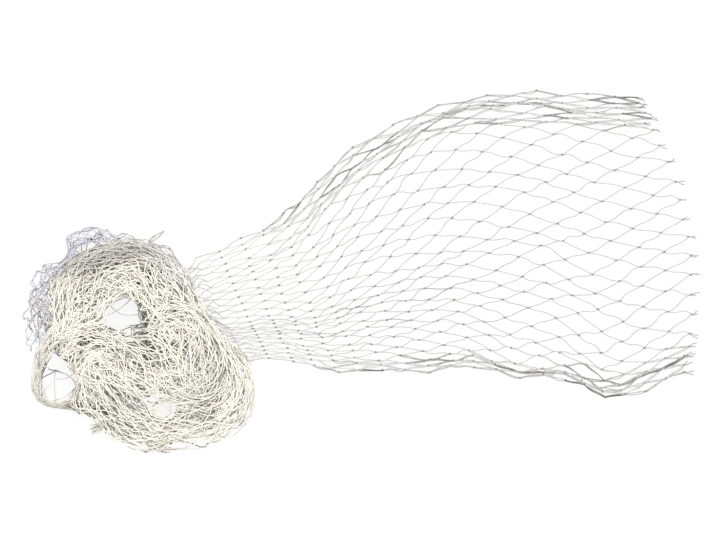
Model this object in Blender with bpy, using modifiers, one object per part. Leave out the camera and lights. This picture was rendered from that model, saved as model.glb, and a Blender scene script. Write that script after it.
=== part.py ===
"""A knotted diamond-mesh fishing net, all one piece, lying on a floor.

One end is drawn out flat in a fan. Behind the fan's neck the netting is gathered into a loose band, which
lies in turns on itself as a heap. Lengths are in millimetres until the mesh is made, which is in metres.
"""

import math

import bmesh
import bpy
import numpy as np

MM = 0.001

# The netting
TWINE = 1.4  # across a bar, and through it
MESHES = 22  # across the net
FAN_ROWS = 20  # half-rows of knots from the neck to the cut end
LEAST_OPENING = 4.0  # a mesh drawn closer than this is left whole
MOST_OPENINGS = 262  # cut in the fan, the widest first

# The fan's selvages, a row for every second half-row from the neck to the cut end
# columns: upper selvage x, y; lower selvage x, y; bow of the half-row; share of its meshes drawn up
FAN = (
    (-158.0, 13.0, -108.0, -97.0, 0.0, 0.00),
    (-115.0, 35.0, -63.0, -98.0, -4.0, 0.10),
    (-74.0, 60.0, -21.0, -110.0, -5.0, 0.25),
    (-43.0, 97.0, 22.0, -109.0, -2.0, 0.45),
    (-8.0, 133.0, 66.0, -109.0, 0.0, 0.65),
    (34.0, 161.0, 108.0, -106.0, 3.0, 0.85),
    (78.0, 183.0, 150.0, -116.0, 7.0, 1.00),
    (126.0, 195.0, 193.0, -119.0, 11.0, 1.00),
    (175.0, 198.0, 229.0, -137.0, 16.0, 1.00),
    (224.0, 197.0, 267.0, -129.0, 21.0, 1.00),
    (274.0, 192.0, 306.0, -108.0, 26.0, 1.00),
)
UPPER_BUNCH = (3.0, 6.0)  # meshes drawn up along the upper selvage, at the neck and at the cut end
LOWER_BUNCH = (1.0, 4.5)  # and along the lower one
BUNCHED = 0.29  # their width against an open mesh
CROWD_FROM = 11  # the meshes past this one stand closer near the neck
CROWDED = 0.6  # their width there
CREASE = (12, 16)  # meshes drawn together in a crease that runs out from the neck
CREASED = 0.7  # their width where the crease is sharpest
CREASE_ENDS = 12  # half-rows from the neck
HUMP = 2.6  # height of the fan's low waves
HUMP_LENGTH = 96.0
HUMP_STARTS = 6  # half-rows from the neck, so that the neck lies flat

# The gathered band, from the neck to the net's other end
# columns: centre x, y; width; thickness
NECK_PASS = (
    (-155.0, -52.0, 94.0, 2.4),
    (-180.0, -66.0, 72.0, 4.0),
    (-211.0, -84.0, 58.0, 4.5),
    (-245.0, -88.0, 52.0, 4.5),
    (-275.0, -74.0, 48.0, 3.6),
)
LOOSE_LOBES = (
    (-293.0, -46.0, 44.0, 2.4),
    (-295.0, -17.0, 40.0, 2.0),
    (-283.0, 6.0, 30.0, 2.0),
    (-262.0, 21.0, 40.0, 2.0),
    (-236.0, 21.0, 46.0, 2.4),
    (-211.0, 3.0, 44.0, 3.6),
)
INNER_TURN = (
    (-196.0, -24.0, 44.0, 4.5),
    (-185.0, -56.0, 42.0, 4.5),
    (-194.0, -90.0, 42.0, 4.5),
    (-226.0, -107.0, 40.0, 4.5),
    (-260.0, -93.0, 40.0, 4.5),
    (-273.0, -58.0, 40.0, 4.5),
    (-260.0, -25.0, 42.0, 4.5),
    (-230.0, -12.0, 42.0, 4.5),
)
UNDER_PASS = (
    (-199.0, -26.0, 44.0, 4.5),
    (-185.0, -57.0, 46.0, 4.5),
    (-184.0, -92.0, 46.0, 4.5),
    (-202.0, -119.0, 42.0, 4.5),
    (-232.0, -120.0, 38.0, 4.5),
    (-259.0, -101.0, 38.0, 4.5),
    (-277.0, -73.0, 44.0, 4.5),
)
RIDGE = (
    (-283.0, -45.0, 52.0, 4.5),
    (-275.0, -24.0, 56.0, 4.5),
    (-257.0, -10.0, 58.0, 4.5),
    (-231.0, -3.0, 57.0, 4.5),
    (-207.0, -5.0, 54.0, 4.5),
    (-191.0, -21.0, 52.0, 4.5),
    (-181.0, -46.0, 54.0, 4.5),
    (-171.0, -71.0, 58.0, 4.5),
)
OUTER_LOOP = (
    (-153.0, -90.0, 54.0, 4.5),
    (-132.0, -107.0, 48.0, 4.5),
    (-118.0, -130.0, 42.0, 4.5),
    (-122.0, -151.0, 40.0, 4.5),
    (-143.0, -165.0, 42.0, 4.5),
    (-169.0, -171.0, 38.0, 4.5),
    (-195.0, -173.0, 36.0, 4.5),
    (-221.0, -160.0, 38.0, 4.5),
    (-246.0, -147.0, 26.0, 4.5),
)
CORNER_LOOP = (
    (-271.0, -142.0, 18.0, 4.0),
    (-291.0, -132.0, 15.0, 3.6),
    (-298.0, -112.0, 15.0, 3.6),
    (-290.0, -92.0, 18.0, 4.0),
)
TOP_PASS = (
    (-272.0, -78.0, 25.0, 4.5),
    (-254.0, -64.0, 32.0, 4.5),
    (-240.0, -48.0, 30.0, 4.5),
    (-221.0, -37.0, 28.0, 4.5),
    (-201.0, -43.0, 32.0, 4.5),
    (-185.0, -61.0, 36.0, 4.5),
    (-172.0, -82.0, 42.0, 4.5),
    (-167.0, -105.0, 44.0, 4.5),
    (-179.0, -122.0, 44.0, 4.5),
    (-204.0, -124.0, 46.0, 4.5),
    (-229.0, -116.0, 46.0, 4.5),
    (-244.0, -124.0, 36.0, 4.5),
    (-246.0, -142.0, 22.0, 4.0),
    (-248.0, -157.0, 14.0, 3.2),
    (-254.0, -171.0, 11.0, 2.6),
)
BAND = (
    NECK_PASS + LOOSE_LOBES + INNER_TURN + UNDER_PASS + RIDGE + OUTER_LOOP + CORNER_LOOP + TOP_PASS
)
STRIPS = 8  # columns of faces across the band
STATION = 19.0  # from one row of faces to the next
PLEAT = 2.4  # depth of the lengthwise pleats
PLEAT_SHARE = 0.42  # and the most that it may be of a strip's width
PLEAT_DRIFT = 0.9  # how far a pleat's depth comes and goes, per station
LOBE_STATIONS = (11, 19)  # the loose lobes, whose meshes stand open
LOBE_STRIPS = (1, 3, 5, 7)  # and the strips that are cut through there

# How the band comes to rest on itself
CELL = 4.0  # of the height map
MAP_LOW = (-350.0, -230.0)
MAP_CELLS = (80, 80)
LAYER_GAP = 3.2  # left between one turn and the next
REACH = 9.0  # a turn already rests on what lies this close beside it
LAG = 62.0  # of band between a point and the nearest stretch that can lie under it
FAN_UNDER = 6  # half-rows of the fan that the heap can lie on
SETTLINGS = 8
EASINGS = 60
SAG = 2.2  # how far a free stretch drops between two stations
DROOP = 1.6  # how far the band's edges hang over, against the width of a strip
END_DROOP = 8.0  # and its end

CENTRE = (0.7, 2.5)  # of the whole net's outline, which the origin lies under


def through(rows, steps):
    """A smooth curve through the rows of a table, with this many steps from each row to the next."""
    rows = np.array(rows, float)
    ends = np.vstack([2 * rows[0] - rows[1], rows, 2 * rows[-1] - rows[-2]])
    points = []
    for a, b, c, d in zip(ends, ends[1:], ends[2:], ends[3:]):
        for t in np.arange(steps) / steps:
            points.append(
                b
                + 0.5 * (c - a) * t
                + (a - 2.5 * b + 2 * c - 0.5 * d) * t**2
                + (1.5 * (b - c) + 0.5 * (d - a)) * t**3
            )
    points.append(rows[-1])
    return np.array(points)


def lengths(points):
    """How far along its line each point lies."""
    steps = np.linalg.norm(np.diff(points[:, :2], axis=0), axis=1)
    return np.concatenate([[0.0], np.cumsum(steps)])


def spaced(points, step):
    """The same curve with its points an even step apart."""
    along = lengths(points)
    at = np.linspace(0, along[-1], 1 + round(along[-1] / step))
    return np.column_stack([np.interp(at, along, column) for column in points.T])


def mesh_widths(i, drawn):
    """How wide each mesh stands on half-row i, against an open one."""
    out = i / FAN_ROWS
    middle = np.arange(MESHES) + 0.5
    upper = np.clip(UPPER_BUNCH[0] + out * (UPPER_BUNCH[1] - UPPER_BUNCH[0]) - middle + 0.5, 0, 1)
    lower = np.clip(middle + LOWER_BUNCH[0] + out * (LOWER_BUNCH[1] - LOWER_BUNCH[0]) - MESHES + 0.5, 0, 1)
    widths = 1 - drawn * (1 - BUNCHED) * (upper + lower)
    widths[CROWD_FROM:] *= 1 - (1 - out) * (1 - CROWDED)
    sharp = max(0.0, 1 - i / CREASE_ENDS)
    widths[CREASE[0] : CREASE[1]] *= 1 - sharp * (1 - CREASED)
    return widths


def fan_line(i, row):
    """The points of half-row i, half a mesh apart from the upper selvage to the lower."""
    upper = row[0:2]
    lower = row[2:4]
    ends = np.concatenate([[0.0], np.cumsum(mesh_widths(i, row[5]))])
    share = np.interp(np.arange(2 * MESHES + 1) / 2, np.arange(MESHES + 1), ends / ends[-1])
    across = (lower - upper) / np.linalg.norm(lower - upper)
    outward = np.array([-across[1], across[0]])
    flat = upper + share[:, None] * (lower - upper)
    flat = flat + row[4] * np.sin(math.pi * share)[:, None] * outward
    rise = HUMP * min(1.0, max(0.0, (i - HUMP_STARTS) / HUMP_STARTS))
    turn = 2 * math.pi / HUMP_LENGTH
    wave = np.sin(turn * flat[:, 0]) * np.sin(turn * flat[:, 1] + 0.02 * flat[:, 0])
    return np.column_stack([flat, rise * np.maximum(0.0, wave)])


def fan_lines():
    """Every half-row of the fan, from the neck to the cut end."""
    return np.array([fan_line(i, row) for i, row in enumerate(through(FAN, 2))])


def strip_edges():
    """Which of the neck's points each strip of the band starts from."""
    return [2 * round(MESHES * c / STRIPS) for c in range(STRIPS + 1)]


def band_plan(neck):
    """The band from above: its points across each station, and its thickness there."""
    stations = spaced(through(BAND, 6), STATION)
    along = np.gradient(stations[:, :2], axis=0)
    along = along / np.linalg.norm(along, axis=1)[:, None]
    along[0] = stations[0, :2] - (neck[0] + neck[-1])[:2] / 2
    along[0] = along[0] / np.linalg.norm(along[0])
    side = np.column_stack([along[:, 1], -along[:, 0]])
    offsets = 0.5 - np.arange(STRIPS + 1) / STRIPS
    plan = stations[:, None, :2] + (stations[:, 2, None] * offsets)[:, :, None] * side[:, None]
    return plan, stations[:, 3]


def strip_widths(plan):
    """How wide each strip is at each station."""
    return np.linalg.norm(plan[:, 0] - plan[:, -1], axis=1) / STRIPS


def pleats(plan):
    """How far each point of the band stands up in its lengthwise pleats."""
    station = np.arange(len(plan))[:, None]
    column = np.arange(STRIPS + 1)[None, :]
    deep = np.minimum(PLEAT, PLEAT_SHARE * strip_widths(plan))[:, None]
    drift = 0.65 + 0.35 * np.sin(PLEAT_DRIFT * station + 2.1 * column)
    return deep * drift * (column % 2)


def cell_of(points):
    """The height map's cells that hold these points."""
    cells = np.floor((points - np.array(MAP_LOW)) / CELL).astype(int)
    return np.clip(cells, 0, np.array(MAP_CELLS) - 1)


def patch(corners):
    """Points close together all over the faces between two stations."""
    first, second = corners
    fine = np.linspace(0, STRIPS, 3 * STRIPS + 1)
    columns = np.arange(STRIPS + 1)
    rows = []
    for t in np.linspace(0, 1, 6):
        row = first + t * (second - first)
        rows.append(np.column_stack([np.interp(fine, columns, value) for value in row.T]))
    return np.concatenate(rows)


def needed(plan, heights, stack):
    """The least height of each point that clears every earlier stretch of the band under it."""
    ground = np.zeros(MAP_CELLS)
    along = lengths(plan.mean(axis=1))
    ring = [(0.0, 0.0)]
    for radius in (0.5 * REACH, REACH):
        for turn in np.arange(8) * math.pi / 4:
            ring.append((radius * math.cos(turn), radius * math.sin(turn)))
    tops = np.concatenate([plan, (heights + stack[:, None] + LAYER_GAP)[:, :, None]], axis=2)
    need = np.zeros(heights.shape)
    laid = 0
    for k in range(len(plan)):
        while along[k] - along[laid + 1] > LAG:
            points = patch(tops[laid : laid + 2])
            cells = cell_of(points[:, :2])
            np.maximum.at(ground, (cells[:, 0], cells[:, 1]), points[:, 2])
            laid += 1
        cells = cell_of(plan[k][:, None] + np.array(ring)[None])
        need[k] = ground[cells[:, :, 0], cells[:, :, 1]].max(axis=1)
    return need


def eased(need, strips):
    """A sheet that hangs over those heights and drops to the floor between them."""
    heights = need.copy()
    for _ in range(EASINGS):
        wide = np.pad(heights, 1, mode="edge")
        wide[1:-1, [0, -1]] -= DROOP * strips[:, None]
        wide[-1] -= END_DROOP
        lengthwise = wide[:-2, 1:-1] + wide[2:, 1:-1]
        crosswise = wide[1:-1, :-2] + wide[1:-1, 2:]
        heights = np.maximum(need, 0.36 * lengthwise + 0.14 * crosswise - SAG)
    return heights


def settled(plan, stack, folds):
    """The band's heights once every turn rests on those below it."""
    heights = folds.copy()
    for _ in range(SETTLINGS):
        heights = eased(needed(plan, heights, stack), strip_widths(plan)) + folds
    return heights


def heap_points(lines):
    """The band's points in space, and its thickness at each station."""
    edges = strip_edges()
    under = lines[FAN_UNDER::-1][:, edges]
    plan, stack = band_plan(lines[0])
    whole = np.concatenate([under[:, :, :2], plan])
    thick = np.concatenate([np.full(len(under), TWINE), stack])
    folds = np.concatenate([np.zeros(under.shape[:2]), pleats(plan)])
    heights = settled(whole, thick, folds)[len(under) :]
    return np.concatenate([plan, heights[:, :, None]], axis=2), stack


def opening(corners):
    """The width of the largest round thing that passes through a mesh with these corners."""
    first, second, third, fourth = (np.array(corner.co) / MM for corner in corners)
    long = np.linalg.norm(third - first)
    short = np.linalg.norm(fourth - second)
    return long * short / math.hypot(long, short) - TWINE


def add_fan(bm, lines):
    """The fan's netting, one face for each mesh. Returns the neck's points and the meshes."""
    points = {}
    for i, line in enumerate(lines):
        for j in range(i % 2, 2 * MESHES + 1, 2):
            points[i, j] = bm.verts.new(place(line[j]))
    meshes = []
    for i in range(1, FAN_ROWS):
        for j in range((i + 1) % 2, 2 * MESHES + 1, 2):
            corners = [(i - 1, j), (i, j + 1), (i + 1, j), (i, j - 1)]
            corners = [points[c] for c in corners if c in points]
            face = bm.faces.new(corners)
            if len(corners) == 4:
                meshes.append((opening(corners), face))
    for j in range(1, 2 * MESHES, 2):
        bm.faces.new((points[0, j - 1], points[0, j + 1], points[1, j]))
    return [points[0, j] for j in range(0, 2 * MESHES + 1, 2)], meshes


def add_band(bm, neck, band):
    """The gathered band, joined to the neck. Returns its points and its faces, station by station."""
    rows = [[bm.verts.new(place(point)) for point in station] for station in band]
    starts = [edge // 2 for edge in strip_edges()]
    for c in range(STRIPS):
        upper = neck[starts[c] : starts[c + 1] + 1]
        bm.faces.new(upper[::-1] + [rows[0][c], rows[0][c + 1]])
    faces = []
    for near, far in zip(rows, rows[1:]):
        strip = []
        for c in range(STRIPS):
            strip.append(bm.faces.new((near[c + 1], near[c], far[c], far[c + 1])))
        faces.append(strip)
    return rows, faces


def place(point):
    """A point in millimetres as one in metres, with the origin under the middle of the net."""
    x, y, z = point
    return (x - CENTRE[0]) * MM, (y - CENTRE[1]) * MM, z * MM


def netting():
    """The net's underside as an open surface, with the share of the full thickness of each point."""
    bm = bmesh.new()
    share = bm.verts.layers.deform.new()
    lines = fan_lines()
    band, stack = heap_points(lines)
    neck, meshes = add_fan(bm, lines)
    rows, faces = add_band(bm, neck, band)

    open_meshes = [mesh for mesh in meshes if mesh[0] > LEAST_OPENING]
    open_meshes.sort(key=lambda mesh: mesh[0], reverse=True)
    cut = [face for _, face in open_meshes[:MOST_OPENINGS]]
    for k in range(*LOBE_STATIONS):
        cut.extend(faces[k][c] for c in LOBE_STRIPS)
    bm.normal_update()
    bmesh.ops.inset_individual(bm, faces=cut, thickness=TWINE / 2 * MM, use_even_offset=True)
    bmesh.ops.delete(bm, geom=cut, context="FACES_ONLY")
    for vertex in bm.verts:
        vertex[share][0] = TWINE / stack.max()
    for row, thickness in zip(rows, stack):
        for vertex in row:
            vertex[share][0] = thickness / stack.max()
    bmesh.ops.recalc_face_normals(bm, faces=bm.faces)
    if sum(face.normal.z for face in bm.faces) < 0:
        bmesh.ops.reverse_faces(bm, faces=bm.faces)
    mesh = bpy.data.meshes.new("net")
    bm.to_mesh(mesh)
    bm.free()
    return mesh, stack.max()


def twine_material():
    material = bpy.data.materials.new("net_twine")
    material.use_nodes = True
    shader = material.node_tree.nodes["Principled BSDF"]
    shader.inputs["Base Color"].default_value = (0.80, 0.76, 0.67, 1.0)
    shader.inputs["Roughness"].default_value = 0.6
    shader.inputs["Metallic"].default_value = 0.0
    return material


def clear_scene():
    for thing in list(bpy.data.objects):
        bpy.data.objects.remove(thing, do_unlink=True)


def build():
    clear_scene()
    group = bpy.data.collections.new("fishing_net")
    bpy.context.scene.collection.children.link(group)
    mesh, most = netting()
    net = bpy.data.objects.new("net", mesh)
    group.objects.link(net)
    net.vertex_groups.new(name="stack")
    mesh.materials.append(twine_material())
    solid = net.modifiers.new("thickness", "SOLIDIFY")
    solid.thickness = most * MM
    solid.offset = 1.0
    solid.vertex_group = "stack"
    solid.thickness_vertex_group = 0.0


build()
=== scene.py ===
"""The finished netting of a knotted diamond-mesh fishing net, bar by bar and knot by knot.

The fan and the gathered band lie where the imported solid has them. Lengths are in millimetres until a mesh is
made, which is in metres.
"""

import math

import bpy
import numpy as np
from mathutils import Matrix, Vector


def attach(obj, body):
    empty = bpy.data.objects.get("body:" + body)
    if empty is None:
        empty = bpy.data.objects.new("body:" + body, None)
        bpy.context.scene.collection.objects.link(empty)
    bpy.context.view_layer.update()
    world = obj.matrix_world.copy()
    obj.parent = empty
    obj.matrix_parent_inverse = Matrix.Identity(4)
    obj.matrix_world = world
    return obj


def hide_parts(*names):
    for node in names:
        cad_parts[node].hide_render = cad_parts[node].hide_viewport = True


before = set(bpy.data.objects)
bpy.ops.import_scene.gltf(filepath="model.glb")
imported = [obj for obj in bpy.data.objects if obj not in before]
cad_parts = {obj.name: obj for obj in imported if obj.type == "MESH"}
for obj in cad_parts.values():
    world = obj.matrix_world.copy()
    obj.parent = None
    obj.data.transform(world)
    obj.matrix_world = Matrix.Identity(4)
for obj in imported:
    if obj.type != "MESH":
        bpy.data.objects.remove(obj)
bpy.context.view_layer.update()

MM = 0.001
TURN = 2 * math.pi

# The view
VIEW_WIDTH = 0.6874  # metres of floor across the picture
LENS = 150.0  # millimetres, and so is the next
SENSOR = 36.0
VIEW_ELEVATION = 62.0  # degrees over the floor
VIEW_PLACE = (-2.0, 0.0)  # the floor's point in the middle of the picture

# The netting
TWINE = 1.0  # across a bar
MESHES = 22  # across the net
LAST = 2 * MESHES  # the lower selvage, counted in half-meshes from the upper one
FAN_ROWS = 20  # half-rows of knots from the neck to the cut end
BAR = 25.0  # one side of a mesh, from knot to knot

# The fan's selvages, a row for every second half-row from the neck to the cut end
# columns: upper selvage x, y; lower selvage x, y; bow of the half-row; share of its meshes drawn up
FAN = (
    (-158, 13, -108, -97, 0, 0.00),
    (-115, 35, -63, -98, -4, 0.10),
    (-74, 60, -21, -110, -5, 0.25),
    (-43, 97, 22, -109, -2, 0.45),
    (-8, 133, 66, -109, 0, 0.65),
    (34, 161, 108, -106, 3, 0.85),
    (78, 183, 150, -116, 7, 1.00),
    (126, 195, 193, -119, 11, 1.00),
    (175, 198, 229, -137, 16, 1.00),
    (224, 197, 267, -129, 21, 1.00),
    (274, 192, 306, -108, 26, 1.00),
)
UPPER_BUNCH = (3.0, 6.0)  # meshes drawn up along the upper selvage, at the neck and at the cut end
LOWER_BUNCH = (1.0, 4.5)  # and along the lower one
BUNCHED = 0.29  # width of such a mesh against an open one
CROWD_FROM = 11  # the meshes past this one stand closer near the neck
CROWDED = 0.6  # their width there
CREASE = (12, 16)  # meshes drawn together in a crease that runs out from the neck
CREASED = 0.7  # their width where the crease is sharpest
CREASE_ENDS = 12  # half-rows from the neck
HUMP = 2.6  # height of the fan's low waves
HUMP_LENGTH = 96.0  # from one wave to the next
HUMP_STARTS = 6  # half-rows from the neck, so that the neck lies flat

# The gathered band, from the neck to the net's other end
# columns: centre x, y; width; thickness
NECK_PASS = (
    (-155, -52, 94, 2.4),
    (-180, -66, 72, 4),
    (-211, -84, 58, 4.5),
    (-245, -88, 52, 4.5),
    (-275, -74, 48, 3.6),
)
LOOSE_LOBES = (
    (-293, -46, 44, 2.4),
    (-295, -17, 40, 2),
    (-283, 6, 30, 2),
    (-262, 21, 40, 2),
    (-236, 21, 46, 2.4),
    (-211, 3, 44, 3.6),
)
INNER_TURN = (
    (-196, -24, 44, 4.5),
    (-185, -56, 42, 4.5),
    (-194, -90, 42, 4.5),
    (-226, -107, 40, 4.5),
    (-260, -93, 40, 4.5),
    (-273, -58, 40, 4.5),
    (-260, -25, 42, 4.5),
    (-230, -12, 42, 4.5),
)
UNDER_PASS = (
    (-199, -26, 44, 4.5),
    (-185, -57, 46, 4.5),
    (-184, -92, 46, 4.5),
    (-202, -119, 42, 4.5),
    (-232, -120, 38, 4.5),
    (-259, -101, 38, 4.5),
    (-277, -73, 44, 4.5),
)
RIDGE = (
    (-283, -45, 52, 4.5),
    (-275, -24, 56, 4.5),
    (-257, -10, 58, 4.5),
    (-231, -3, 57, 4.5),
    (-207, -5, 54, 4.5),
    (-191, -21, 52, 4.5),
    (-181, -46, 54, 4.5),
    (-171, -71, 58, 4.5),
)
OUTER_LOOP = (
    (-153, -90, 54, 4.5),
    (-132, -107, 48, 4.5),
    (-118, -130, 42, 4.5),
    (-122, -151, 40, 4.5),
    (-143, -165, 42, 4.5),
    (-169, -171, 38, 4.5),
    (-195, -173, 36, 4.5),
    (-221, -160, 38, 4.5),
    (-246, -147, 26, 4.5),
)
CORNER_LOOP = (
    (-271, -142, 18, 4),
    (-291, -132, 15, 3.6),
    (-298, -112, 15, 3.6),
    (-290, -92, 18, 4),
)
TOP_PASS = (
    (-272, -78, 25, 4.5),
    (-254, -64, 32, 4.5),
    (-240, -48, 30, 4.5),
    (-221, -37, 28, 4.5),
    (-201, -43, 32, 4.5),
    (-185, -61, 36, 4.5),
    (-172, -82, 42, 4.5),
    (-167, -105, 44, 4.5),
    (-179, -122, 44, 4.5),
    (-204, -124, 46, 4.5),
    (-229, -116, 46, 4.5),
    (-244, -124, 36, 4.5),
    (-246, -142, 22, 4),
    (-248, -157, 14, 3.2),
    (-254, -171, 11, 2.6),
)
PASSES = {
    "neck": NECK_PASS,
    "lobes": LOOSE_LOBES,
    "inner": INNER_TURN,
    "under": UNDER_PASS,
    "ridge": RIDGE,
    "outer": OUTER_LOOP,
    "corner": CORNER_LOOP,
    "top": TOP_PASS,
}
BAND = sum(PASSES.values(), ())
CURVE_STEPS = 6  # points along the band from one row of these tables to the next
STRIPS = 8  # columns of faces across the band
STATION = 19.0  # from one row of faces to the next
PLEAT = 2.4  # depth of the lengthwise pleats
PLEAT_SHARE = 0.42  # and the most that it may be of a strip's width
PLEAT_DRIFT = 0.9  # how far a pleat's depth comes and goes, per station
SOLID_TWINE = 1.4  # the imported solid's thickness in the fan

# How the band comes to rest on itself
CELL = 4.0  # one cell of the height map
MAP_LOW = (-350.0, -230.0)  # the map's lowest x and y
MAP_CELLS = (80, 80)
LAYER_GAP = 3.2  # left between one turn and the next
REACH = 9.0  # a turn already rests on what lies this close beside it
LAG = 62.0  # of band between a point and the nearest stretch that can lie under it
FAN_UNDER = 6  # half-rows of the fan that the heap can lie on
SETTLINGS = 8  # how often every turn is laid again on those below it
EASINGS = 60  # how often the hanging sheet is smoothed each time
EASE_ALONG = 0.36  # what a point then takes from each neighbour along the band
EASE_ACROSS = 0.14  # and across it
SAG = 2.2  # how far a free stretch drops between two stations
DROOP = 1.6  # how far the band's edges hang over, against the width of a strip
END_DROOP = 8.0  # and its end

CENTRE = (0.7, 2.5)  # of the whole net's outline, which the origin lies under
VIEW_TARGET = ((VIEW_PLACE[0] - CENTRE[0]) * MM, (VIEW_PLACE[1] - CENTRE[1]) * MM, 0.0)

# How a bar is drawn
FAN_STEPS = 8  # lengths of tube along a bar of the fan
BAND_STEPS = 7  # and of the band
FAN_SIDES = 6  # faces round a tube in the fan
BAND_SIDES = 5  # and in the band
FINE = 6  # finer stations between two of the band's own, and the same across a strip


def through(rows, steps):
    """A smooth curve through the rows of a table, with this many steps from each row to the next."""
    rows = np.array(rows, float)
    ends = np.vstack([2 * rows[0] - rows[1], rows, 2 * rows[-1] - rows[-2]])
    points = []
    for a, b, c, d in zip(ends, ends[1:], ends[2:], ends[3:]):
        for t in np.arange(steps) / steps:
            points.append(
                b
                + 0.5 * (c - a) * t
                + (a - 2.5 * b + 2 * c - 0.5 * d) * t**2
                + (1.5 * (b - c) + 0.5 * (d - a)) * t**3
            )
    points.append(rows[-1])
    return np.array(points)


def lengths(points):
    """How far along its line each point lies."""
    steps = np.linalg.norm(np.diff(points[:, :2], axis=0), axis=1)
    return np.concatenate([[0.0], np.cumsum(steps)])


def spaced(points, step):
    """The same curve with its points an even step apart."""
    along = lengths(points)
    at = np.linspace(0, along[-1], 1 + round(along[-1] / step))
    return np.column_stack([np.interp(at, along, column) for column in points.T])


def unit(vectors):
    """The same directions, each 1 long."""
    return vectors / np.linalg.norm(vectors, axis=-1, keepdims=True)


def bunched(i, across):
    """1 where the netting is drawn up along a selvage on half-row i, and 0 in the open netting."""
    out = i / FAN_ROWS
    upper = UPPER_BUNCH[0] + out * (UPPER_BUNCH[1] - UPPER_BUNCH[0])
    lower = LOWER_BUNCH[0] + out * (LOWER_BUNCH[1] - LOWER_BUNCH[0])
    return np.clip(upper - across + 0.5, 0, 1) + np.clip(across + lower - MESHES + 0.5, 0, 1)


def mesh_widths(i, drawn):
    """How wide each mesh stands on half-row i, against an open one."""
    widths = 1 - drawn * (1 - BUNCHED) * bunched(i, np.arange(MESHES) + 0.5)
    widths[CROWD_FROM:] *= 1 - (1 - i / FAN_ROWS) * (1 - CROWDED)
    sharp = max(0.0, 1 - i / CREASE_ENDS)
    widths[CREASE[0] : CREASE[1]] *= 1 - sharp * (1 - CREASED)
    return widths


def fan_line(i, row):
    """The points of half-row i, half a mesh apart from the upper selvage to the lower."""
    upper = row[0:2]
    lower = row[2:4]
    ends = np.concatenate([[0.0], np.cumsum(mesh_widths(i, row[5]))])
    share = np.interp(np.arange(LAST + 1) / 2, np.arange(MESHES + 1), ends / ends[-1])
    across = (lower - upper) / np.linalg.norm(lower - upper)
    outward = np.array([-across[1], across[0]])
    flat = upper + share[:, None] * (lower - upper)
    flat = flat + row[4] * np.sin(math.pi * share)[:, None] * outward
    rise = HUMP * min(1.0, max(0.0, (i - HUMP_STARTS) / HUMP_STARTS))
    turn = TURN / HUMP_LENGTH
    wave = np.sin(turn * flat[:, 0]) * np.sin(turn * flat[:, 1] + 0.02 * flat[:, 0])
    return np.column_stack([flat, rise * np.maximum(0.0, wave)])


def fan_lines():
    """Every half-row of the fan, from the neck to the cut end."""
    return np.array([fan_line(i, row) for i, row in enumerate(through(FAN, 2))])


def strip_edges():
    """Which of the neck's points each strip of the band starts from."""
    return [2 * round(MESHES * c / STRIPS) for c in range(STRIPS + 1)]


def band_plan(neck):
    """The band from above: its points across each station, and its thickness there."""
    stations = spaced(through(BAND, CURVE_STEPS), STATION)
    along = unit(np.gradient(stations[:, :2], axis=0))
    along[0] = stations[0, :2] - (neck[0] + neck[-1])[:2] / 2
    along[0] = along[0] / np.linalg.norm(along[0])
    side = np.column_stack([along[:, 1], -along[:, 0]])
    offsets = 0.5 - np.arange(STRIPS + 1) / STRIPS
    plan = stations[:, None, :2] + (stations[:, 2, None] * offsets)[:, :, None] * side[:, None]
    return plan, stations[:, 3]


def strip_widths(plan):
    """How wide each strip is at each station."""
    return np.linalg.norm(plan[:, 0] - plan[:, -1], axis=1) / STRIPS


def pleats(plan):
    """How far each point of the band stands up in its lengthwise pleats."""
    station = np.arange(len(plan))[:, None]
    column = np.arange(STRIPS + 1)[None, :]
    deep = np.minimum(PLEAT, PLEAT_SHARE * strip_widths(plan))[:, None]
    drift = 0.65 + 0.35 * np.sin(PLEAT_DRIFT * station + 2.1 * column)
    return deep * drift * (column % 2)


def cells_of(points, low, cell, grid):
    """The cells of a height map that hold these points."""
    cells = np.floor((points[..., :2] - np.array(low)) / cell).astype(int)
    cells = np.clip(cells, 0, np.array(grid.shape) - 1)
    return cells[..., 0], cells[..., 1]


def raise_map(grid, points, low, cell):
    """Lifts a height map's cells to the points that lie over them."""
    np.maximum.at(grid, cells_of(points, low, cell, grid), points[:, 2])


def patch(corners):
    """Points close together all over the faces between two stations."""
    first, second = corners
    fine = np.linspace(0, STRIPS, 3 * STRIPS + 1)
    columns = np.arange(STRIPS + 1)
    rows = []
    for t in np.linspace(0, 1, 6):
        row = first + t * (second - first)
        rows.append(np.column_stack([np.interp(fine, columns, value) for value in row.T]))
    return np.concatenate(rows)


def needed(plan, heights, stack):
    """The least height of each point that clears every earlier stretch of the band under it."""
    ground = np.zeros(MAP_CELLS)
    along = lengths(plan.mean(axis=1))
    ring = [(0.0, 0.0)]
    for radius in (0.5 * REACH, REACH):
        for turn in np.arange(8) * math.pi / 4:
            ring.append((radius * math.cos(turn), radius * math.sin(turn)))
    tops = np.concatenate([plan, (heights + stack[:, None] + LAYER_GAP)[:, :, None]], axis=2)
    need = np.zeros(heights.shape)
    laid = 0
    for k in range(len(plan)):
        while along[k] - along[laid + 1] > LAG:
            raise_map(ground, patch(tops[laid : laid + 2]), MAP_LOW, CELL)
            laid += 1
        near = plan[k][:, None] + np.array(ring)[None]
        need[k] = ground[cells_of(near, MAP_LOW, CELL, ground)].max(axis=1)
    return need


def eased(need, strips):
    """A sheet that hangs over those heights and drops to the floor between them."""
    heights = need.copy()
    for _ in range(EASINGS):
        wide = np.pad(heights, 1, mode="edge")
        wide[1:-1, [0, -1]] -= DROOP * strips[:, None]
        wide[-1] -= END_DROOP
        lengthwise = wide[:-2, 1:-1] + wide[2:, 1:-1]
        crosswise = wide[1:-1, :-2] + wide[1:-1, 2:]
        heights = np.maximum(need, EASE_ALONG * lengthwise + EASE_ACROSS * crosswise - SAG)
    return heights


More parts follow.
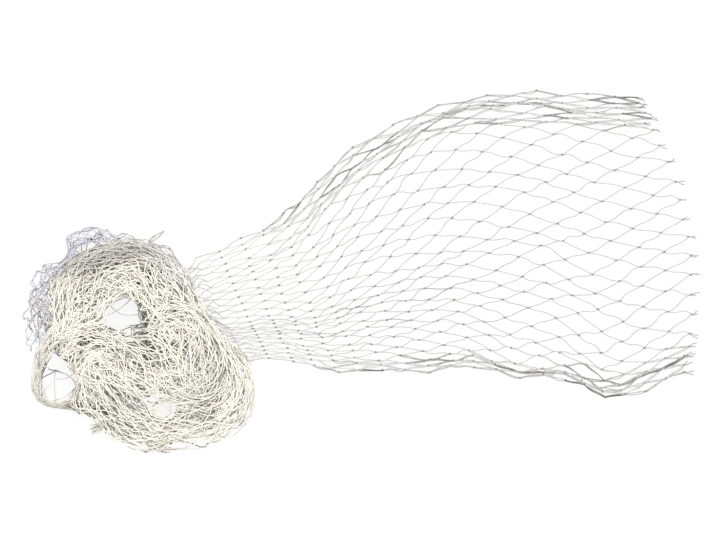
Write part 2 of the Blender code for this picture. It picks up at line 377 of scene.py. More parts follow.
def settled(plan, stack, folds):
    """The band's heights once every turn rests on those below it."""
    heights = folds.copy()
    for _ in range(SETTLINGS):
        heights = eased(needed(plan, heights, stack), strip_widths(plan)) + folds
    return heights


def heap_points(lines):
    """The band's points in space, and its thickness at each station."""
    edges = strip_edges()
    under = lines[FAN_UNDER::-1][:, edges]
    plan, stack = band_plan(lines[0])
    whole = np.concatenate([under[:, :, :2], plan])
    thick = np.concatenate([np.full(len(under), SOLID_TWINE), stack])
    folds = np.concatenate([np.zeros(under.shape[:2]), pleats(plan)])
    heights = settled(whole, thick, folds)[len(under) :]
    return np.concatenate([plan, heights[:, :, None]], axis=2), stack


# Small unevenness

WAVES = 7  # sine waves that one wavering is made of


def waver(seed, along, across):
    """A smooth unevenness, about 1 high, that changes over one unit along and one across."""
    dice = np.random.RandomState(seed)
    total = 0.0
    for _ in range(WAVES):
        lean = dice.uniform(0, TURN)
        start = dice.uniform(0, TURN)
        total = total + np.sin(2.4 * (math.cos(lean) * along + math.sin(lean) * across) + start)
    return total * math.sqrt(2 / WAVES)


def smooth(low, high, value):
    """0 below low, 1 above high, and a soft step between them."""
    t = np.clip((value - low) / (high - low), 0, 1)
    return t * t * (3 - 2 * t)


def within(stretch, blur, run):
    """1 inside a stretch and 0 outside it, with soft ends."""
    start = smooth(stretch[0] - blur, stretch[0] + blur, run)
    return start - smooth(stretch[1] - blur, stretch[1] + blur, run)


# How unevenly knots lie: how much of it wavers; over what length along and across; how much is chance
FAN_UNEVEN = (0.7, 1.7, 2.3, 0.5)  # in half-rows and half-meshes
BAND_LENGTHWISE = (0.9, 60, 5, 0.5)  # in millimetres and half-meshes, as are the next three
BAND_CROSSWISE = (0.6, 50, 6, 0.7)
COVER_LENGTHWISE = (0.9, 50, 4, 0.6)
COVER_CROSSWISE = (0.8, 40, 3, 0.7)


def uneven(seed, measures, run, place, dice):
    """How far each knot lies from its even place, most of them within 1 either way."""
    wavers, along, across, chance = measures
    shape = np.broadcast_shapes(run.shape, place.shape)
    return wavers * waver(seed, run / along, place / across) + chance * dice.normal(size=shape)


# Tubes of twine

UP = np.array([0.0, 0.0, 1.0])


class Strands:
    """Many closed tubes of twine, gathered into one mesh."""

    def __init__(self):
        self.points = []
        self.tones = []
        self.corners = []
        self.sizes = []
        self.lays = []
        self.count = 0

    def add(self, paths, radius, sides, tone, knotted=0.0, beside=UP):
        """A tube along each path.

        paths holds [tube, point, xyz], and radius and tone hold a value for each point or for all.
        """
        tubes, steps = paths.shape[:2]
        radius = np.broadcast_to(radius, (tubes, steps))
        paths = paths.copy()
        paths[:, :, 2] = np.maximum(paths[:, :, 2], radius)
        along = unit(np.gradient(paths, axis=1))
        side = unit(np.cross(along, beside))
        lift = np.cross(side, along)
        turn = TURN * np.arange(sides) / sides
        ring = np.cos(turn)[:, None] * side[:, :, None] + np.sin(turn)[:, None] * lift[:, :, None]
        points = paths[:, :, None] + radius[:, :, None, None] * ring
        self.points.append(points.reshape(-1, 3))
        tones = np.broadcast_to(tone, (tubes, steps, 3))
        self.tones.append(np.repeat(tones.reshape(-1, 3), sides, axis=0))

        index = self.count + np.arange(tubes * steps * sides).reshape(tubes, steps, sides)
        beyond = np.roll(index, -1, axis=2)
        quads = np.stack([index[:, :-1], index[:, 1:], beyond[:, 1:], beyond[:, :-1]], axis=3)
        self.add_faces(quads, 4, self.lay_of(paths, sides), knotted)
        for cap in (index[:, 0], index[:, -1, ::-1]):
            self.add_faces(cap, sides, np.zeros((cap.size, 2)), knotted)
        self.count += tubes * steps * sides

    def add_faces(self, corners, size, lay, knotted):
        """Faces with the same number of corners, and what the material reads at each corner."""
        self.corners.append(corners.reshape(-1))
        self.sizes.append(np.full(corners.size // size, size))
        self.lays.append(np.column_stack([lay, np.full(len(lay), knotted)]))

    @staticmethod
    def lay_of(paths, sides):
        """How far along and how far round its tube each corner of the side faces lies."""
        tubes, steps = paths.shape[:2]
        run = np.cumsum(np.linalg.norm(np.diff(paths, axis=1), axis=2), axis=1)
        run = np.concatenate([np.zeros((tubes, 1)), run], axis=1)
        run = np.broadcast_to(run[:, :, None], (tubes, steps, sides))
        share = np.broadcast_to(np.arange(sides) / sides, (tubes, steps, sides))
        near, far = run[:, :-1], run[:, 1:]
        low, high = share[:, 1:], share[:, 1:] + 1 / sides
        lengthwise = np.stack([near, far, far, near], axis=3)
        return np.stack([lengthwise, np.stack([low, low, high, high], axis=3)], axis=4).reshape(-1, 2)

    def piece(self, name):
        """The finished object, in metres, with the origin under the middle of the net."""
        points = np.concatenate(self.points)
        points[:, :2] -= CENTRE
        corners = np.concatenate(self.corners)
        sizes = np.concatenate(self.sizes)
        mesh = bpy.data.meshes.new(name)
        mesh.vertices.add(len(points))
        mesh.vertices.foreach_set("co", (points * MM).ravel())
        mesh.loops.add(len(corners))
        mesh.loops.foreach_set("vertex_index", corners)
        mesh.polygons.add(len(sizes))
        mesh.polygons.foreach_set("loop_start", np.concatenate([[0], np.cumsum(sizes)[:-1]]))
        mesh.polygons.foreach_set("loop_total", sizes)
        mesh.update(calc_edges=True)
        mesh.shade_smooth()
        # the tone attribute holds each strand's painted shade: how dark, how grey and how cool
        for label, place, values in (("tone", "POINT", self.tones), ("lay", "CORNER", self.lays)):
            layer = mesh.attributes.new(label, "FLOAT_VECTOR", place)
            layer.data.foreach_set("vector", np.concatenate(values).ravel())
        piece = bpy.data.objects.new(name, mesh)
        bpy.context.scene.collection.objects.link(piece)
        return piece


KNOT_TURNS = 1.6  # of twine wound round a knot
KNOT_STEPS = 10  # points along a winding
KNOT_SIDES = 5
KNOT_LENGTH = 2.1  # from the first turn's middle to the last one's
KNOT_RADIUS = 0.64  # of the windings, at their middle


def knots(strands, centres, axes, seed, tone, swell=1.0):
    """A tight winding of twine at each place, along the given direction."""
    dice = np.random.RandomState(seed)
    axes = unit(axes)
    side = unit(np.cross(axes, UP))
    lift = np.cross(side, axes)
    t = np.linspace(0, 1, KNOT_STEPS)
    start = dice.uniform(0, TURN, (len(centres), 1))
    hand = dice.choice([-1.0, 1.0], (len(centres), 1))
    angle = start + hand * TURN * KNOT_TURNS * t
    length = KNOT_LENGTH * swell * dice.uniform(0.8, 1.25, (len(centres), 1))
    radius = KNOT_RADIUS * swell * dice.uniform(0.9, 1.15, (len(centres), 1))
    paths = (
        centres[:, None]
        + (length * (t - 0.5))[:, :, None] * axes[:, None]
        + (radius * np.cos(angle))[:, :, None] * side[:, None]
        + (radius * np.sin(angle))[:, :, None] * lift[:, None]
    )
    beside = np.broadcast_to(axes[:, None], paths.shape)
    strands.add(paths, 0.5 * TWINE, KNOT_SIDES, tone, knotted=1.0, beside=beside)


# The fan

KNOT_SHIFT = 1.1  # how far a knot lies from its even place
BAR_BOW = 0.9  # how far a bar bends aside between its knots
BAR_LIFT = 0.5  # and how far it rises
BUNCH_SHIFT = 2.4  # how far a knot lies from its even place in a drawn-up selvage
BUNCH_LIFT = 2.8  # and how high it may lie
KNOT_REST = 0.55  # from the floor to the middle of a knot that lies on it
TAUT_EDGE = 0.65  # by how much less a knot is shifted at the selvage itself
TAUT_BUNCH = 0.55  # by how much less a bar bends in a drawn-up selvage
FAN_HELD = 3  # half-rows from the neck over which the knots come free of their even places
SHIFT_MOST = 1.7  # the furthest that chance may shift a knot, in these measures
BEND_MOST = 1.8  # and bend a bar
DOUBLED_FROM = 3  # half-rows from the neck to where the selvages' twine is doubled
DOUBLING = np.array([0.0, -1.0, 0.2])  # from one strand of it to the other
KNOT_LEAN = 12.0  # how far a knot may lean from its mesh's line
STUB = (4.5, 9.0)  # length of the twine's cut ends past the last knots
STUB_SPREAD = 0.24  # how far two cut ends part, in radians
STUB_LEAN = 0.2  # and how far both turn aside

# How the fan's twine looks, each from 0 to 1; its grey and the dark of its drawn-up selvages and crease are
# painted shade
NECK_GREY = 0.5  # painted shade: how grey it is at the neck
OPEN_GREY = 0.2  # by how much more in the open netting
BUNCH_GREY = 0.15  # by how much less in the drawn-up selvages
BUNCH_DARK = (0.1, 0.65, 0.25)  # how dark painted shade makes those: everywhere; in patches; along the selvage itself
CREASE_DARK = 0.5  # how dark painted shade makes patches of the crease
KNOT_TONE = np.array([0.25, 0.9, 0.0])  # dark, grey and cool
STUB_TONE = np.array([0.15, 0.8, 0.0])


def fan_knots(lines):
    """Where the fan's knots lie: the even places, with the unevenness of a soft net."""
    dice = np.random.RandomState(11)
    i = np.arange(FAN_ROWS + 1)[:, None]
    j = np.arange(LAST + 1)[None, :]
    bunch = bunched(i, j / 2)
    taut = 1 - TAUT_EDGE * (1 - smooth(0, 4, np.minimum(j, LAST - j)))
    free = smooth(0, FAN_HELD, i)
    loose = free * (KNOT_SHIFT + (BUNCH_SHIFT - KNOT_SHIFT) * bunch) * taut
    places = lines.copy()
    for axis, seed in ((0, 21), (1, 22)):
        shift = uneven(seed, FAN_UNEVEN, i, j, dice)
        places[:, :, axis] += loose * np.clip(shift, -SHIFT_MOST, SHIFT_MOST)
    lift = bunch * BUNCH_LIFT * (0.5 + 0.5 * waver(23, i / 1.1, j / 1.3)) * free
    places[:, :, 2] += KNOT_REST + np.clip(lift, 0, 2 * BUNCH_LIFT)
    return places


def bars_between(first, second, sideways, upwards, steps):
    """Paths from knot to knot. sideways and upwards hold how far each bows once and twice on its way."""
    t = np.linspace(0, 1, steps + 1)
    once = np.sin(math.pi * t)
    twice = np.sin(2 * math.pi * t)
    run = second - first
    across = unit(np.cross(run, UP))
    paths = first[:, None] + t[:, None] * run[:, None]
    aside = sideways[:, 0, None] * once + sideways[:, 1, None] * twice
    return paths + aside[:, :, None] * across[:, None] + (upwards[:, None] * once)[:, :, None] * UP


def bar_ends(rows, last):
    """The two ends of each bar of a piece of netting, as half-row and half-mesh."""
    pairs = []
    for i in range(rows):
        for j in range(i % 2, last + 1, 2):
            for beyond in (j - 1, j + 1):
                if 0 <= beyond <= last:
                    pairs.append((i, j, i + 1, beyond))
    return np.array(pairs)


def fan_tone(row, place, drawn_up):
    """How dark and how grey painted shade makes each bar of the fan."""
    everywhere, patchy, outer = BUNCH_DARK
    # painted shade: greyer in the open netting, less so in the drawn-up selvages
    shade_grey = NECK_GREY + OPEN_GREY * smooth(0, 9, row) - BUNCH_GREY * drawn_up
    patches = smooth(2, 6, row) * smooth(0.2, 1.0, waver(35, row / 1.4, place / 2))
    outermost = 1 - smooth(0.5, 1.5, np.minimum(place, LAST - place))
    # painted shade on the drawn-up selvages, in patches and along their outer edge, and in the crease
    dark = np.clip(drawn_up * (everywhere + patchy * patches + outer * outermost), 0, 1)
    creased = within(CREASE, 1, place / 2) * within((2, CREASE_ENDS), 2, row)
    dark = dark + CREASE_DARK * creased * smooth(0.6, 1.2, waver(36, row / 1.4, place / 2))
    return np.stack([dark, shade_grey, 0 * shade_grey], axis=1)[:, None]


def make_fan(lines):
    """The fan's bars, the doubled strands of its selvages, its knots and its cut ends."""
    dice = np.random.RandomState(31)
    places = fan_knots(lines)
    pairs = bar_ends(FAN_ROWS, LAST)
    first = places[pairs[:, 0], pairs[:, 1]]
    second = places[pairs[:, 2], pairs[:, 3]]
    row = pairs[:, 0] + 0.5
    place = (pairs[:, 1] + pairs[:, 3]) / 2
    drawn_up = bunched(row, place / 2)
    tone = fan_tone(row, place, drawn_up)
    bow = np.clip(dice.normal(size=(len(pairs), 2)), -BEND_MOST, BEND_MOST) * BAR_BOW
    bow = bow * (1 - TAUT_BUNCH * drawn_up)[:, None]
    lift = BAR_LIFT * np.abs(dice.normal(size=len(pairs)))
    strands = Strands()
    strands.add(bars_between(first, second, bow, lift, FAN_STEPS), 0.5 * TWINE, FAN_SIDES, tone)

    doubled = (drawn_up > 0.5) & (row > DOUBLED_FROM)
    first = first[doubled] + DOUBLING
    second = second[doubled] + DOUBLING
    bow = bow[doubled] + 0.5 * dice.normal(size=(len(first), 2))
    paths = bars_between(first, second, bow, lift[doubled], FAN_STEPS)
    strands.add(paths, 0.5 * TWINE, FAN_SIDES, tone[doubled])

    knotted = [(i, j) for i in range(1, FAN_ROWS + 1) for j in range(i % 2, LAST + 1, 2)]
    i, j = np.array(knotted).T
    onward = places[i, j] - places[i - 1, j]
    onward[:, 1] += KNOT_LEAN * dice.normal(size=len(i))
    knots(strands, places[i, j], onward, 41, KNOT_TONE)
    make_stubs(strands, places, dice)
    return strands.piece("net_fan")


def make_stubs(strands, places, dice):
    """The cut ends of twine past the fan's last knots, two to a knot."""
    j = np.repeat(np.arange(FAN_ROWS % 2, LAST + 1, 2), 2)
    start = places[FAN_ROWS, j]
    onward = places[FAN_ROWS, j] - places[FAN_ROWS - 2, j]
    apart = np.where(np.arange(len(j)) % 2 == 0, 1.0, -1.0) * STUB_SPREAD
    heading = np.arctan2(onward[:, 1], onward[:, 0]) + apart * dice.uniform(0.2, 1.6, len(j))
    heading = heading + np.repeat(dice.normal(size=len(j) // 2), 2) * STUB_LEAN
    reach = dice.uniform(*STUB, len(j))
    end = start + np.column_stack([reach * np.cos(heading), reach * np.sin(heading), np.zeros(len(j))])
    end[:, 2] = np.maximum(0.5 * TWINE, start[:, 2] * 0.6)
    bow = dice.normal(size=(len(j), 2)) * 0.5
    paths = bars_between(start, end, bow, np.zeros(len(j)), 4)
    strands.add(paths, 0.5 * TWINE, FAN_SIDES, STUB_TONE)


# The gathered band

HALF_ROW = 24.0  # from one half-row of knots to the next where the band is drawn up
LOOSE_HALF_ROW = 15.0  # and in the loose lobes
HALF_MESH = 6.0  # how far a bar runs to the side where the band is drawn up
LOBE_MESH = 7.5  # and in the loose lobes
GATHER = (20, 150)  # where the netting is folded into the band, from the neck
FOLD_DRIFT = 0.35  # how far the folds wander across the band, in band widths
FOLD_UNEVEN = 0.12  # and each half-mesh beside its neighbours
LAYER_DRIFT = 0.6  # how far the layers of the folds wander up and down
NECK_HEIGHT = 0.4  # where the netting lies in the band's thickness at the neck
OVER_EDGE = 0.6  # strips that loose strands stand out past the band's edge
PROUD = 1.5  # and above its solid
ROW_SHIFT = 5.5  # how far a knot lies from its half-row's even place, lengthwise
COLUMN_SHIFT = 1.1  # and crosswise
HEIGHT_SHIFT = 0.15  # and up or down, in the band's thickness
COVER_HEIGHT_SHIFT = 0.3  # and in a cover's
BAND_HELD = 30  # millimetres from the neck over which the knots come free of the fan's
STRAND_BOW = 0.17  # how far a bar bends aside, in strips
LOBE_BOW = 0.55  # and in the loose lobes
SHUT_MESHES = 34  # half-meshes that stay gathered along the lobes' inner side
SHUT_FOLD = 10  # in folds of this many
OPEN_SHARE = 0.8  # of the lobes' width that the others take
OVER_UNDER = 0.4  # how far a bar dives over and under its neighbours, in the netting's thickness

# Holes that show the floor through the heap, and the notch between its two lobes
# columns: x, y where the middle of the sight through it meets the floor; half its width and length
HOLES = (
    (-226, -45, 9.5, 11.5),
    (-219, -66, 4, 5),
    (-284, -124, 15.5, 13),
    (-183, -147, 7.5, 7.5),
    (-296, 22, 11, 11),
)
HOLE_RIM = 1.8  # strands are pushed aside within this many half-widths
HOLE_UNEVEN = 0.16  # how far a rim swings in and out
SLANT = 0.53  # how far the holes lean back for each millimetre of height


def parted(points):
    """The same points, pushed aside out of the heap's holes."""
    points = points.copy()
    for x, y, wide, long in HOLES:
        aside = (points[..., 0] - x) / wide
        back = (points[..., 1] + SLANT * points[..., 2] - y) / long
        far = np.hypot(aside, back) + 1e-6
        bearing = np.arctan2(back, aside)
        rim = 1 + HOLE_UNEVEN * (np.sin(2 * bearing + x) + 0.7 * np.sin(3 * bearing + y))
        pushed = np.where(far < HOLE_RIM, rim + far * (HOLE_RIM - rim) / HOLE_RIM, far)
        points[..., 0] += aside * (pushed / far - 1) * wide
        points[..., 1] += back * (pushed / far - 1) * long
    return points


def bilinear(values, i, j, u, v):
    """Values read from a grid, u past row i and v past column j."""
    near = (1 - v) * values[i, j] + v * values[i, j + 1]
    far = (1 - v) * values[i + 1, j] + v * values[i + 1, j + 1]
    return (1 - u) * near + u * far


class Band:
    """The band as a surface that can be read at any place along, across and through it."""

    def __init__(self, lines):
        points, stack = heap_points(lines)
        neck = lines[0][strip_edges()]
        points = np.concatenate([neck[None], points])
        stack = np.concatenate([[SOLID_TWINE], stack])
        self.along = lengths(points.mean(axis=1))
        rows = len(points)
        fine = through(points.reshape(rows, -1), FINE).reshape(-1, STRIPS + 1, 3)
        across = through(fine.transpose(1, 0, 2).reshape(STRIPS + 1, -1), FINE)
        self.grid = across.reshape(-1, len(fine), 3).transpose(1, 0, 2)
        onward = np.gradient(self.grid, axis=0)
        beside = np.gradient(self.grid, axis=1)
        normals = unit(np.cross(beside, onward))
        self.normals = normals * np.sign(normals[:, :, 2:] + 1e-9)
        at = np.arange(len(fine)) / FINE
        self.stack = np.interp(at, np.arange(rows), stack)
        self.runs = np.interp(at, np.arange(rows), self.along)
        self.length = self.along[-1]
        edges = self.grid[:, [0, -1], :2]
        self.widths = np.linalg.norm(edges[:, 0] - edges[:, 1], axis=1)

    def stretch(self, name):
        """Where a pass of the band starts and ends, in millimetres from the neck."""
        names = list(PASSES)
        before = sum(len(PASSES[n]) for n in names[: names.index(name)])
        last = before + len(PASSES[name]) - 1
        along = lengths(through(BAND, CURVE_STEPS))
        return np.array((along[CURVE_STEPS * before], along[CURVE_STEPS * last])) + self.along[1]

    def top(self):
        """Points all over the band's upper side."""
        return (self.grid + self.stack[:, None, None] * self.normals).reshape(-1, 3)

    def at(self, run, column, height):
        """Places in space: run in millimetres from the neck, column in strips, height from 0 to 1."""
        row = FINE * np.interp(run, self.along, np.arange(len(self.along)))
        column = FINE * np.clip(column, -OVER_EDGE, STRIPS + OVER_EDGE)
        i = np.clip(row.astype(int), 0, len(self.grid) - 2)
        j = np.clip(column.astype(int), 0, self.grid.shape[1] - 2)
        u = (row - i)[..., None]
        v = (column - j)[..., None]
        room = self.stack[i] - TWINE + PROUD
        rise = 0.5 * TWINE + room * np.clip(height, 0, 1)
        lifted = rise[..., None] * bilinear(self.normals, i, j, u, v)
        return parted(bilinear(self.grid, i, j, u, v) + lifted)


def folded(place):
    """A place on the spread netting, in band widths, as its place across the folded band, from 0 to 1."""
    turn = np.mod(place, 2.0)
    return np.minimum(turn, 2.0 - turn)


def columns_of(j, run, width, loose):
    """Which column of the band each half-mesh lies in, and how high in the band, from 0 to 1."""
    even = np.interp(j, strip_edges(), np.arange(STRIPS + 1))
    spread = j * HALF_MESH / width + FOLD_DRIFT * waver(64, run / 130, 0 * j)
    spread = spread + FOLD_UNEVEN * waver(65, run / 45, j / 9)
    layer = folded(0.5 * (spread + LAYER_DRIFT * waver(66, run / 200, 0 * j)))
    drawn_in = smooth(*GATHER, run)
    column = even + drawn_in * (STRIPS * folded(spread) - even)
    shut = (1 - OPEN_SHARE) * folded(j / SHUT_FOLD)
    spread = (j - SHUT_MESHES) * LOBE_MESH / (OPEN_SHARE * width) + 0.1 * waver(67, run / 40, j / 9)
    opened = STRIPS * np.where(j < SHUT_MESHES, shut, 1 - OPEN_SHARE + OPEN_SHARE * folded(spread))
    return column + loose * (opened - column), NECK_HEIGHT + drawn_in * (layer - NECK_HEIGHT)


def half_rows(band):
    """How far along the band each half-row of knots lies."""
    lobes = band.stretch("lobes")
    runs = [0.0]
    while runs[-1] < band.length:
        loose = float(within(lobes, 10, runs[-1]))
        runs.append(runs[-1] + HALF_ROW + loose * (LOOSE_HALF_ROW - HALF_ROW))
    return np.array(runs[:-1])


class Netting:
    """Netting on a surface, as the paths of its bars and the places of its knots."""

    def __init__(self, surface, run, column, height, bow, dice):
        self.lay_bars(surface, run, column, height, bow, dice)
        self.lay_knots(surface, run, column, height, dice)

    def lay_bars(self, surface, run, column, height, bow, dice):
        """Each bar bends aside, and over and under its neighbours, on its way from knot to knot."""
        pairs = bar_ends(run.shape[0] - 1, run.shape[1] - 1)
        t = np.linspace(0, 1, BAND_STEPS + 1)
        once = np.sin(math.pi * t)
        twice = np.sin(2 * math.pi * t)
        thrice = np.sin(3 * math.pi * t)
        bend = np.clip(dice.normal(size=(len(pairs), 6)), -BEND_MOST, BEND_MOST)[:, :, None]
        own_bow = np.broadcast_to(bow, run.shape)[pairs[:, 0], pairs[:, 1]][:, None]

        def drawn(values):
            first = values[pairs[:, 0], pairs[:, 1]][:, None]
            second = values[pairs[:, 2], pairs[:, 3]][:, None]
            return first + t * (second - first)

        aside = bend[:, 0] * once + 0.8 * bend[:, 1] * twice + 0.6 * bend[:, 2] * thrice
        over = bend[:, 3] * once + bend[:, 4] * twice + 0.7 * bend[:, 5] * thrice
        self.run = np.clip(drawn(run), 0, surface.length)
        self.height = drawn(height) + OVER_UNDER * over
        self.bars = surface.at(self.run, drawn(column) + own_bow * aside, self.height)
        self.bar_rows = pairs[:, 0]

    def lay_knots(self, surface, run, column, height, dice):
        """The knots past the first half-row, and the way each one points."""
        row, place = np.meshgrid(np.arange(1, run.shape[0]), np.arange(run.shape[1]), indexing="ij")
        keep = (row % 2) == (place % 2)
        self.knot_rows = row[keep]
        own = (row[keep], place[keep])
        lean = 0.1 * dice.normal(size=len(self.knot_rows))
        self.knot_run = run[own]
        self.knot_height = height[own]
        self.knots = surface.at(self.knot_run, column[own], self.knot_height)
        ahead = np.minimum(self.knot_run + 4, surface.length)
        behind = np.maximum(self.knot_run - 4, 0)
        ahead = surface.at(ahead, column[own] + lean, self.knot_height)
        self.onward = ahead - surface.at(behind, column[own], self.knot_height)

    def draw(self, strands, low, high, tone_at, seed):
        """Adds the bars and knots from one half-row to another."""
        own = (self.bar_rows >= low) & (self.bar_rows < high)
        tone = tone_at(self.bars[own], self.run[own], self.height[own])
        strands.add(self.bars[own], 0.5 * TWINE, BAND_SIDES, tone)
        own = (self.knot_rows > low) & (self.knot_rows <= high)
        tone = tone_at(self.knots[own], self.knot_run[own], self.knot_height[own])
        knots(strands, self.knots[own], self.onward[own], seed, tone[:, None], swell=0.9)


def band_netting(band, even):
    """The netting that is gathered in the band."""
    dice = np.random.RandomState(51)
    j = np.arange(LAST + 1)[None, :]
    run = even[:, None]
    free = smooth(0, BAND_HELD, run)
    loose = within(band.stretch("lobes"), 15, run)
    lengthwise = uneven(61, BAND_LENGTHWISE, run, j, dice)
    crosswise = uneven(62, BAND_CROSSWISE, run, j, dice)
    knot_run = np.clip(run + free * ROW_SHIFT * lengthwise, 0, band.length)
    width = np.interp(knot_run, band.runs, band.widths)
    column, height = columns_of(j, knot_run, width, loose)
    column = column + free * COLUMN_SHIFT * (1 + loose) * crosswise * STRIPS / width
    height = np.clip(height + free * HEIGHT_SHIFT * dice.normal(size=column.shape), 0, 1)
    bow = STRAND_BOW + loose * (LOBE_BOW - STRAND_BOW)
    return Netting(band, knot_run, column, height, bow, dice)


# Loose netting that lies over the band, in the order in which it is laid
# for each: its meshes across; 1 where it lies as loose as the lobes and 0 where not; its rows
# columns: centre x, y; width
COVERS = {
    "lobe_left": (5, 1, (
        (-298, -97, 18), (-305, -78, 24), (-306, -52, 25), (-299, -24, 24), (-288, -4, 20),
        (-277, 6, 14),
    )),
    "lobe_top": (6, 1, (
        (-279, 2, 22), (-275, 21, 26), (-262, 34, 28), (-245, 28, 24), (-230, 14, 20),
    )),
    "ridge": (22, 0, (
        (-281, -69, 34), (-277, -43, 44), (-260, -24, 54), (-237, -14, 60), (-212, -13, 62),
        (-192, -28, 60), (-177, -50, 56), (-165, -75, 52), (-153, -100, 44),
    )),
    "crest": (14, 0, (
        (-282, -58, 28), (-274, -32, 40), (-254, -12, 46), (-226, -4, 50), (-197, -15, 48),
        (-180, -42, 46),
    )),
    "side": (12, 0, (
        (-273, -14, 24), (-279, -44, 26), (-279, -76, 26), (-286, -98, 22),
    )),
    "middle": (16, 0, (
        (-284, -96, 26), (-262, -90, 34), (-235, -92, 38), (-206, -103, 42), (-180, -121, 42),
        (-153, -142, 34), (-132, -149, 26),
    )),
    "lower": (16, 0, (
        (-266, -104, 26), (-245, -124, 36), (-221, -141, 40), (-192, -156, 38), (-163, -162, 34),
        (-136, -154, 28),
    )),
    "corner": (13, 0, (
        (-246, -96, 28), (-256, -122, 32), (-252, -146, 38), (-231, -163, 32), (-204, -178, 30),
        (-176, -180, 24),
    )),
    "outer": (16, 0, (
        (-148, -88, 34), (-130, -102, 38), (-119, -124, 38), (-124, -146, 36), (-146, -160, 36),
        (-174, -167, 34), (-200, -172, 30),
    )),
    "swirl": (13, 0, (
        (-203, -82, 24), (-181, -74, 28), (-158, -76, 30), (-141, -90, 30), (-135, -111, 30),
        (-143, -132, 30), (-162, -141, 30), (-182, -134, 28), (-193, -120, 24),
    )),
    "cross_left": (6, 0, (
        (-249, 2, 26), (-254, -24, 34), (-263, -50, 34), (-268, -78, 26),
    )),
    "cross_middle": (6, 0, (
        (-236, -76, 28), (-228, -99, 38), (-216, -124, 38), (-210, -150, 28),
    )),
    "cross_right": (6, 0, (
        (-158, -72, 28), (-152, -95, 38), (-156, -120, 38), (-150, -148, 28),
    )),
    "cross_ridge": (5, 0, (
        (-199, 8, 24), (-198, -14, 30), (-196, -38, 28), (-184, -62, 24),
    )),
}
COVER_PIECES = {
    "net_heap_ridge": ("lobe_left", "lobe_top", "ridge", "crest", "side"),
    "net_heap_front": ("middle", "lower", "corner"),
    "net_heap_outer": ("outer", "swirl"),
    "net_heap_cross": ("cross_left", "cross_middle", "cross_right", "cross_ridge"),
}
COVER_SHIFT = 1.7  # how far a knot lies from its even place crosswise
COVER_DRIFT = 0.3  # how far a cover's folds wander across it, in its widths
COVER_LOBE_BOW = 0.6  # how far a bar of the loose ones bends aside, in strips
COVER_STEP = 3.0  # between the points that a cover's middle line is read at
LOFT = 3.2  # how thick a cover lies
TUCK = 9.0  # how far its ends dip into the heap
TUCK_RUN = 26.0  # over this length
EDGE_TUCK = 2.5  # how far its edges dip

# How high the heap stands, as a map of heights
FIELD_CELL = 3.0
FIELD_LOW = (-345.0, -225.0)  # its lowest x and y
FIELD_CELLS = (100, 108)
HANGINGS = 40  # how often it is smoothed
FIELD_SAG = 0.12  # how far a cover hangs down between two cells


class Field:
    """How high the heap stands, as a sheet that hangs over it."""

    def __init__(self, points):
        self.top = np.zeros(FIELD_CELLS)
        self.add(points)

    def add(self, points):
        """Raises the sheet over these points."""
        raise_map(self.top, points, FIELD_LOW, FIELD_CELL)
        heights = self.top.copy()
        for _ in range(HANGINGS):
            heights = np.maximum(self.top, self.blurred(heights) - FIELD_SAG)
        self.hung = self.blurred(self.blurred(heights))

    @staticmethod
    def blurred(heights):
        wide = np.pad(heights, 1, mode="edge")
        return (wide[:-2, 1:-1] + wide[2:, 1:-1] + wide[1:-1, :-2] + wide[1:-1, 2:]) / 4

    def height(self, points):
        """The sheet's height over or under each point."""
        cells = (points[..., :2] - np.array(FIELD_LOW)) / FIELD_CELL - 0.5
        i = np.clip(cells[..., 0].astype(int), 0, FIELD_CELLS[0] - 2)
        j = np.clip(cells[..., 1].astype(int), 0, FIELD_CELLS[1] - 2)
        u = np.clip(cells[..., 0] - i, 0, 1)
        v = np.clip(cells[..., 1] - j, 0, 1)
        return bilinear(self.hung, i, j, u, v)


class Cover:
    """A cover as a surface that can be read as the band is."""

    def __init__(self, rows, field):
        self.curve = spaced(through(rows, 8), COVER_STEP)
        self.runs = lengths(self.curve)
        self.length = self.runs[-1]
        along = unit(np.gradient(self.curve[:, :2], axis=0))
        self.side = np.column_stack([along[:, 1], -along[:, 0]])
        self.field = field

    def at(self, run, column, height):
        """Places in space, on the sheet that hangs over the heap."""

        def read(values):
            return np.interp(run, self.runs, values)

        share = np.clip(column, -OVER_EDGE, STRIPS + OVER_EDGE) / STRIPS
        aside = (0.5 - share) * read(self.curve[:, 2])
        x = read(self.curve[:, 0]) + aside * read(self.side[:, 0])
        y = read(self.curve[:, 1]) + aside * read(self.side[:, 1])
        points = np.stack([x, y, 0 * x], axis=-1)
        ends = np.minimum(run, self.length - run)
        edges = np.abs(2 * share - 1)
        lift = 0.5 * TWINE + LOFT * np.clip(height, -1, 1)
        lift = lift - TUCK * (1 - smooth(0, TUCK_RUN, ends)) - EDGE_TUCK * smooth(0.6, 1, edges)
        points[..., 2] = np.maximum(self.field.height(points) + lift, 0.5 * TWINE)
        return parted(points)


def cover_netting(field, meshes, loose, rows, seed):
    """The netting of one cover, and how many half-rows it has."""
    dice = np.random.RandomState(seed)
    cover = Cover(rows, field)
    count = round(cover.length / (HALF_ROW + loose * (LOOSE_HALF_ROW - HALF_ROW)))
    j = np.arange(2 * meshes + 1)[None, :]
    even = np.arange(count + 1)[:, None] * cover.length / count
    run = np.clip(even + ROW_SHIFT * uneven(seed + 1, COVER_LENGTHWISE, even, j, dice), 0, cover.length)
    width = np.interp(run, cover.runs, cover.curve[:, 2])
    shift = COVER_SHIFT * uneven(seed + 2, COVER_CROSSWISE, even, j, dice)
    spread = j * HALF_MESH / width + COVER_DRIFT * waver(seed + 4, even / 110, 0 * j)
    column = STRIPS * (folded(spread) + shift / width)
    height = folded(0.5 * spread) + COVER_HEIGHT_SHIFT * dice.normal(size=run.shape)
    bow = STRAND_BOW + loose * (COVER_LOBE_BOW - STRAND_BOW)
    return Netting(cover, run, column, height, bow, dice), count


